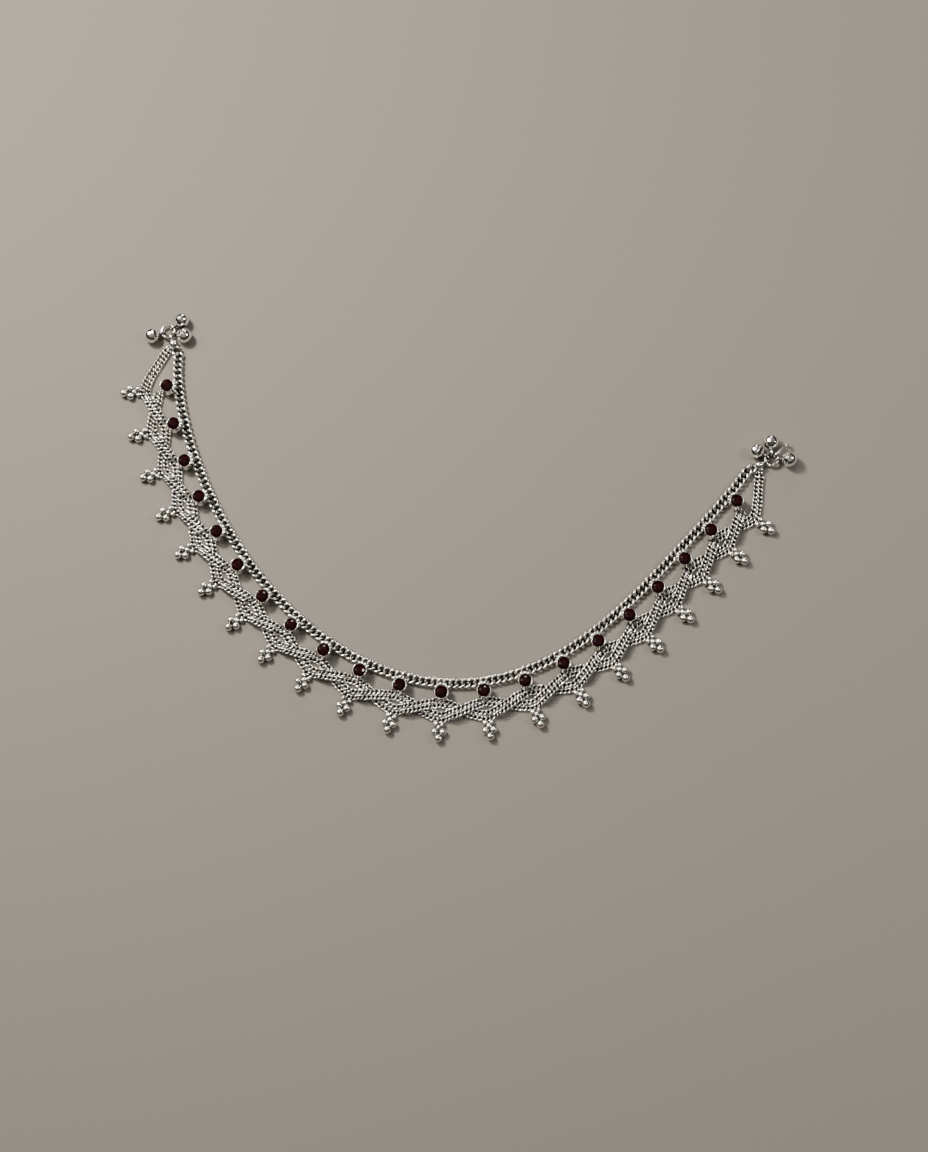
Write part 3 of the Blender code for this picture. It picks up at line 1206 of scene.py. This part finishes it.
@dataclass
class Garnets:
    """Round brilliant stones, one in each cup."""

    shop: Workshop
    girdle: float = 1.8 * MM
    table: float = 0.95 * MM
    shoulder: float = 1.36 * MM
    crown: float = 0.6 * MM
    shoulder_height: float = 0.36 * MM
    edge: float = 0.06 * MM
    pavilion: float = 0.9 * MM
    height: float = 3.4 * MM
    sides: int = 8

    def stone(self) -> bpy.types.Mesh:
        """One stone about the origin, its girdle at Z = 0.

        Returns:
            The mesh.
        """
        sides, fine = self.sides, 2 * self.sides
        points = np.concatenate(
            [
                ring_line(self.table, sides, height=self.crown),
                ring_line(self.shoulder, sides, start=math.pi / sides, height=self.shoulder_height),
                ring_line(self.girdle, fine, height=self.edge / 2),
                ring_line(self.girdle, fine, height=-self.edge / 2),
                [(0.0, 0.0, -self.pavilion)],
            ]
        )
        tip, upper, lower = len(points) - 1, 2 * sides, 2 * sides + fine
        faces: list[Sequence[int]] = [range(sides)]
        for k in range(sides):
            after, before = (k + 1) % sides, (k - 1) % sides
            corner, mid, end = 2 * k, 2 * k + 1, (2 * k + 2) % fine
            faces.append((k, after, sides + k))
            faces.append((k, sides + k, upper + corner, sides + before))
            faces.append((sides + k, upper + corner, upper + mid))
            faces.append((sides + k, upper + mid, upper + end))
        for k in range(fine):
            after = (k + 1) % fine
            faces.append((upper + k, upper + after, lower + after, lower + k))
            faces.append((lower + k, lower + after, tip))
        return mesh_from("stone", points, faces, smooth=False)

    def build(self) -> bpy.types.Object:
        """All the stones as one piece.

        Returns:
            The piece.
        """
        out, finish = self.shop.route.bezel_out, self.shop.finishes.garnet
        piece = self.shop.at_stations("garnets", self.stone(), out, self.height, finish)
        nodes = [f"garnet_{u:02d}" for u in self.shop.route.stations()]
        return self.shop.keep(piece, Slot.GARNET, *nodes)


@dataclass
class Strands:
    """Four fine curb chains that wave between the bezels and the outer edge."""

    shop: Workshop
    link: CurbLink = CurbLink(
        width=1.68 * MM,
        wire=0.38 * MM,
        pitch=1.2 * MM,
        twist=math.radians(-56),
        steps=12,
        arch=0.06 * MM,
        side_swell=0.15,
        middle_shade=0.3,
    )
    core: ShadeSheet = ShadeSheet(1.0 * MM, 0.14 * MM, 0.38 * MM)
    bead_reach: float = 1.75 * MM
    low: float = 0.56 * MM
    high: float = 1.9 * MM
    low_share: float = 0.12
    high_share: float = 0.3
    pointed: float = 0.6
    samples_per_pitch: int = 30
    roll: float = math.radians(5)
    seed: int = 11

    def swing(self, turn: float) -> float:
        """How far a band has swung out: 0 at a peak, 1 at a trough.

        Args:
            turn: pitches past a peak.

        Returns:
            The share of the way out.
        """
        straight = abs((turn + 1) % 2 - 1)
        rounded = (1.0 - math.cos(math.pi * turn)) / 2
        return self.pointed * straight + (1.0 - self.pointed) * rounded

    def height(self, u: float, rising: bool) -> float:
        """The strand's height, u pitches along.

        Args:
            u: pitches from the left end.
            rising: whether this pitch is one that passes over the other band.

        Returns:
            The height of the strand's middle.
        """
        share = u - math.floor(u)
        share = min(share, 1.0 - share)
        climb = (share - self.low_share) / (self.high_share - self.low_share)
        climb = within(climb, 0.0, 1.0) if rising else 0.0
        return self.low + (self.high - self.low) * eased(climb)

    def points(self, band: Band, course: Course) -> list[Vector]:
        """The strand's middle line.

        Args:
            band: which band it is in.
            course: which of the band's two strands it is.

        Returns:
            Points close together, from left to right.
        """
        route = self.shop.route
        _, first, last, from_even = band.value
        _, peak, trough, gather = course.value
        rising_start = 0 if from_even else 1
        inset = self.link.length / 2 / route.pitch
        line = []
        for u in np.linspace(first + inset, last - inset, (last - first) * self.samples_per_pitch):
            near = gather if u < 1 or u > route.pitches - 1 else peak
            out = near + (trough - near) * self.swing(u - 1 + rising_start)
            start = math.floor(u)
            rising = start % 2 == rising_start and 1 <= start < route.pitches - 1
            line.append(route.point(u, out, self.height(u, rising)))
        return line if first else route.into_bead(line, self.bead_reach)

    def build(self) -> list[bpy.types.Object]:
        """The four strands, each a piece of its own.

        Returns:
            The pieces.
        """
        pieces = []
        for band in Band:
            for course in Course:
                name = f"{band.value[0]}_{course.value[0]}"
                line = self.points(band, course)
                seed = self.seed + len(pieces)
                piece = self.shop.chain(
                    f"fine_curb_{name}", line, self.link, self.core, self.roll, seed
                )
                pieces.append(self.shop.keep(piece, Slot.CHAIN, f"strand_{name}"))
        return pieces


@dataclass
class Pendants:
    """Clusters of polished grains at the outer turns."""

    shop: Workshop
    out: float = 11.5 * MM
    # Each grain's place about the outer turn, and its diameter.
    grains: tuple[tuple[float, float, float, float], ...] = (
        (-0.92 * MM, -0.15 * MM, 0.95 * MM, 1.55 * MM),
        (0.92 * MM, -0.2 * MM, 0.85 * MM, 1.35 * MM),
        (0.0, -1.2 * MM, 1.05 * MM, 1.7 * MM),
        (-1.13 * MM, -2.4 * MM, 1.12 * MM, 2.2 * MM),
        (1.13 * MM, -2.4 * MM, 1.1 * MM, 2.15 * MM),
        (0.0, -4.2 * MM, 1.19 * MM, 2.36 * MM),
    )

    def build(self) -> bpy.types.Object:
        """All the clusters as one piece.

        Returns:
            The piece.
        """
        unit = joined("cluster", [ball(size, (x, y, z)) for x, y, z, size in self.grains])
        finish = self.shop.finishes.bright
        piece = self.shop.at_stations("grain_clusters", unit, self.out, 0.0, finish)
        nodes = [f"pendant_{u:02d}" for u in self.shop.route.stations()]
        return self.shop.keep(piece, Slot.BRIGHT, *nodes)


@dataclass
class EndWork:
    """The end beads, the open rings, the bells and the hook."""

    shop: Workshop
    wire_sides: int = 10
    ring_radius: float = 1.9 * MM
    ring_wire: float = 0.8 * MM
    ring_steps: int = 34
    ring_turn: float = math.radians(29)
    ring_gap: float = math.radians(16)
    ring_gap_at: float = math.radians(-150)
    loop_radius: float = 0.9 * MM
    loop_wire: float = 0.55 * MM
    loop_steps: int = 20
    loop_sides: int = 8
    drop_steps: int = 28
    drop_rings: int = 14
    bell_diameter: float = 4.4 * MM
    bell_turns_left: tuple[float, ...] = (math.radians(85), math.radians(-131), math.radians(-73))
    bell_turns_right: tuple[float, ...] = (math.radians(127), math.radians(65), math.radians(-31))
    seam: float = 0.07 * MM
    seam_half: float = 0.16 * MM
    seam_tuck: float = 0.01 * MM
    collar: float = 0.62 * MM
    # Shares of a drop's radius: where its ball stops, and the collar's foot, edge and top.
    ball_to: float = 0.93
    collar_shares: tuple[float, float, float] = (0.95, 1.02, 1.04)
    hook_turn: float = math.radians(17)
    hook_wire: float = 0.7 * MM
    hook_curl: float = 0.95 * MM
    hook_length: float = 3.5 * MM
    hook_opening: float = math.radians(50)
    hook_steps: tuple[int, int] = (16, 14)

    @property
    def ring_height(self) -> float:
        """Height of the rings' plane above the surface."""
        return self.hook_curl + self.hook_wire / 2

    def drop_profile(self, diameter: float, seamed: bool) -> Profile:
        """A drop's section along its own axis, from its far end to its loop.

        Args:
            diameter: across.
            seamed: whether the two halves meet in a raised seam.

        Returns:
            (radius, height) pairs.
        """
        radius = diameter / 2
        profile = ball_profile(diameter, self.drop_rings)
        if seamed:
            low, high = radius - self.seam_tuck, radius + self.seam
            half, middle = self.seam_half, self.drop_rings // 2
            seam = [(low, -half), (high, -half / 2), (high, half / 2), (low, half)]
            profile[middle : middle + 1] = seam
        kept = [pair for pair in profile if pair[1] < radius * self.ball_to]
        foot, edge, top = (radius * share for share in self.collar_shares)
        return [*kept, (self.collar, foot), (self.collar, edge), (0.0, top)]

    def drop(self, diameter: float, seamed: bool) -> tuple[bpy.types.Mesh, float]:
        """A ball with its wire loop; the loop's middle is the origin.

        Args:
            diameter: the ball's.
            seamed: whether it has a seam.

        Returns:
            The mesh, and how far along X the ball's middle is.
        """
        reach = diameter / 2 + self.loop_radius
        fall = diameter / 2 - self.ring_height
        along = math.sqrt(reach**2 - fall**2)
        lean = math.atan2(fall, along)
        body = turned("drop_body", self.drop_profile(diameter, seamed), self.drop_steps)
        place = Matrix.Translation(Vector((along, 0.0, fall)))
        moved(body, place @ turn_about("Y", -math.pi / 2 - lean))
        circle = ring_line(self.loop_radius, self.loop_steps)
        loop = swept("drop_loop", circle, self.loop_wire, self.loop_sides, closed=True)
        moved(loop, turn_about("X", math.pi / 2))
        return joined("drop", [body, loop]), along

    def ring(self) -> bpy.types.Mesh:
        """The open ring about the origin.

        Returns:
            The mesh.
        """
        start = self.ring_gap_at + self.ring_gap / 2
        line = ring_line(self.ring_radius, self.ring_steps, start, FULL_TURN - self.ring_gap)
        return swept("ring", line, self.ring_wire, self.wire_sides, closed=False)

    def hook(self) -> bpy.types.Mesh:
        """The hook in an upright plane, its first curl about the origin.

        Returns:
            The mesh.
        """
        first_steps, second_steps = self.hook_steps
        quarter = FULL_TURN / 4
        first = np.linspace(-self.hook_opening, -3 * quarter, first_steps)
        second = np.linspace(quarter, self.hook_opening - quarter, second_steps)
        rows = []
        for middle, angles in ((0.0, first), (self.hook_length, second)):
            for angle in angles:
                along = middle + self.hook_curl * math.cos(angle)
                rows.append((along, 0.0, self.hook_curl * math.sin(angle)))
        return swept("hook", np.array(rows), self.hook_wire, self.wire_sides, closed=False)

    def end(
        self, side: str, u: int, forward: int, bell_turns: Sequence[float]
    ) -> list[bpy.types.Object]:
        """One end's bead, ring and bells, and at the right end the hook.

        Args:
            side: the end's name.
            u: its place, in pitches.
            forward: 1 where the line leads out of the anklet, -1 where it leads in.
            bell_turns: each bell's angle on the ring, past the ring's own direction.

        Returns:
            The pieces.
        """
        shop, route = self.shop, self.shop.route
        ahead = route.tangent(u) * forward
        facing = math.atan2(ahead.y, ahead.x) - forward * self.ring_turn
        bead, reach = self.drop(route.bead.diameter, seamed=False)
        eye = beside(route.bead_place(u), facing, reach)
        centre = beside(eye, facing, self.ring_radius)
        made = [
            (f"bead_{side}", f"end_bead_{side}", standing(bead, eye, facing + math.pi)),
            (f"open_ring_{side}", f"ring_{side}", standing(self.ring(), centre, facing)),
        ]
        for number, turn in enumerate(bell_turns, start=1):
            bell, _ = self.drop(self.bell_diameter, seamed=True)
            standing(bell, beside(centre, facing + turn, self.ring_radius), facing + turn)
            made.append((f"round_bell_{side}_{number}", f"bell_{side}_{number}", bell))
        if side == "right":
            angle = facing + self.hook_turn
            hook = standing(self.hook(), beside(centre, angle, self.ring_radius), angle)
            made.append(("plain_hook", "hook", hook))
        pieces = [(shop.place(name, mesh, shop.finishes.bright), node) for name, node, mesh in made]
        return [shop.keep(piece, Slot.BRIGHT, node) for piece, node in pieces]

    def build(self) -> list[bpy.types.Object]:
        """Everything at both ends.

        Returns:
            The pieces.
        """
        left = self.end("left", 0, -1, self.bell_turns_left)
        right = self.end("right", self.shop.route.pitches, 1, self.bell_turns_right)
        return left + right


@dataclass(frozen=True)
class SoftLight:
    """A square soft box aimed at a point."""

    name: str
    place: tuple[float, float, float]
    size: float
    power: float
    colour: Colour

    def build(self, target: Vector) -> bpy.types.Object:
        """The light.

        Args:
            target: what it is aimed at.

        Returns:
            The light's object.
        """
        data = bpy.data.lights.new(self.name, "AREA")
        data.size = self.size
        data.energy = self.power
        data.color = self.colour
        light = bpy.data.objects.new(self.name, data)
        light.location = target + Vector(self.place)
        light.rotation_euler = (target - light.location).to_track_quat("-Z", "Y").to_euler()
        bpy.context.scene.collection.objects.link(light)
        return light


@dataclass
class Studio:
    """Floor, light and camera."""

    route: Route
    floor_size: float = 4.0
    elevation: float = math.radians(75)
    distance: float = 0.764
    aim: tuple[float, float, float] = (0.0, 2.3 * MM, 0.0)
    lens: float = 85.0
    sensor: float = 36.0
    clip: Span = (0.01, 20.0)
    low_sky: Colour = (0.03, 0.029, 0.028)
    high_sky: Colour = (0.33, 0.308, 0.28)
    dim_below: float = 0.4
    bright_above: float = 1.0
    window: Colour = (8.0, 7.6, 6.95)
    window_way: tuple[float, float, float] = (-0.55, 0.3, 0.78)
    window_edge: float = math.cos(math.radians(28))
    window_core: float = math.cos(math.radians(8))
    lights: tuple[SoftLight, ...] = (
        SoftLight("key", (-0.26, 0.24, 0.38), 0.08, 5.8, (1.0, 0.93, 0.83)),
        SoftLight("fill", (0.5, 0.1, 0.45), 0.08, 2.2, (0.97, 0.98, 1.0)),
        SoftLight("back", (0.1, 0.75, 0.35), 0.15, 1.6, (1.0, 0.97, 0.93)),
    )

    def target(self) -> Vector:
        """The point that the photograph's middle looks at."""
        return self.route.shift + Vector(self.aim)

    def floor(self) -> bpy.types.Object:
        """The plain floor.

        Returns:
            The floor's object.
        """
        half = self.floor_size / 2
        corners = [(-half, -half, 0.0), (half, -half, 0.0), (half, half, 0.0), (-half, half, 0.0)]
        mesh = mesh_from("floor", corners, [(0, 1, 2, 3)], smooth=False)
        mesh.materials.append(FloorFinish().material())
        floor = bpy.data.objects.new("floor", mesh)
        bpy.context.scene.collection.objects.link(floor)
        floor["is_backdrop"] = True
        return floor

    def world(self) -> None:
        """A dim room with one soft window, high on the left."""
        world = bpy.data.worlds.new("soft_room")
        world.use_nodes = True
        nodes = NodeChain(world.node_tree)
        way = nodes.node("ShaderNodeTexCoord").outputs["Generated"]
        height = nodes.set(nodes.node("ShaderNodeSeparateXYZ"), i0=way).outputs["Z"]
        lift = nodes.ramp(height, self.dim_below, self.bright_above, 0.0, 1.0)
        room = nodes.mix(lift, opaque(self.low_sky), opaque(self.high_sky))
        facing = nodes.node("ShaderNodeVectorMath", operation="DOT_PRODUCT")
        nodes.set(facing, i0=way, i1=Vector(self.window_way).normalized())
        share = nodes.ramp(facing.outputs["Value"], self.window_edge, self.window_core, 0.0, 1.0)
        colour = nodes.mix(share, room, opaque(self.window))
        nodes.set(world.node_tree.nodes["Background"], Color=colour)
        bpy.context.scene.world = world

    def camera(self) -> bpy.types.Object:
        """The camera at the photograph's angle.

        Returns:
            The camera's object.
        """
        data = bpy.data.cameras.new("camera")
        data.lens = self.lens
        data.sensor_width = self.sensor
        data.clip_start, data.clip_end = self.clip
        camera = bpy.data.objects.new("camera", data)
        back = Vector((0.0, -math.cos(self.elevation), math.sin(self.elevation)))
        camera.location = self.target() + back * self.distance
        camera.rotation_euler = (-back).to_track_quat("-Z", "Y").to_euler()
        bpy.context.scene.collection.objects.link(camera)
        bpy.context.scene.camera = camera
        return camera

    def build(self) -> None:
        """Everything that isn't the anklet."""
        self.floor()
        self.world()
        for light in self.lights:
            light.build(self.target())
        self.camera()


def clear_startup() -> None:
    """Remove the objects that a new file starts with."""
    for obj in list(bpy.data.objects):
        bpy.data.objects.remove(obj, do_unlink=True)


def main() -> None:
    """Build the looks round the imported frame."""
    logging.basicConfig(level=logging.INFO, format="%(name)s: %(message)s")
    clear_startup()
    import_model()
    cad_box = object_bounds()
    route = Route()
    shop = Workshop(route, Finishes.make(), link_tree(), station_tree())
    Studio(route).build()
    builders: list[Callable[[], Any]] = [
        TopChain(shop).build,
        Bezels(shop).build,
        Garnets(shop).build,
        Strands(shop).build,
        Pendants(shop).build,
        EndWork(shop).build,
    ]
    for build in builders:
        build()
    boxes = {"cad": cad_box, "visual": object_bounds()}
    sizes = {name: [list(corner) for corner in box] for name, box in boxes.items()}
    for name, (low, high) in sizes.items():
        LOG.info("%s box in mm: %s", name, [round((b - a) / MM, 2) for a, b in zip(low, high)])


if __name__ == "__main__":
    main()
